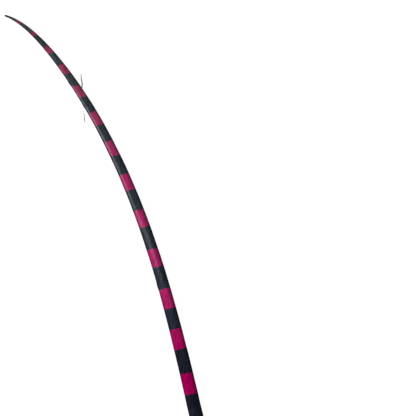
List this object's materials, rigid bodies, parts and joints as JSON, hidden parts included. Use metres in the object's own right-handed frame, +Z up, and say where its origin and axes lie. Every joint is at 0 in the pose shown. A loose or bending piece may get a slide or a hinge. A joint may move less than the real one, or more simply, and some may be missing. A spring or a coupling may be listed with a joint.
{
  "type": "stripped ostrich feather quill",
  "caption": "Bare shaft of an ostrich feather, barbs stripped off: a long tapering quill that bends over to a fine tip, grooved inside the bend, banded black over magenta.",
  "frame": {"origin": "centre of the underside of the quill's box, on the surface that it lies on", "axes": "+Z up from the flank it rests on; +Y towards the tip, along the box's long side; +X towards the convex side of the bend and the butt"},
  "size_m": [0.1492, 0.3416, 0.0083],
  "materials": {
    "dyed_keratin": null
  },
  "bodies": {
    "root": {"quill": "dyed_keratin"}
  },
  "joints": []
}
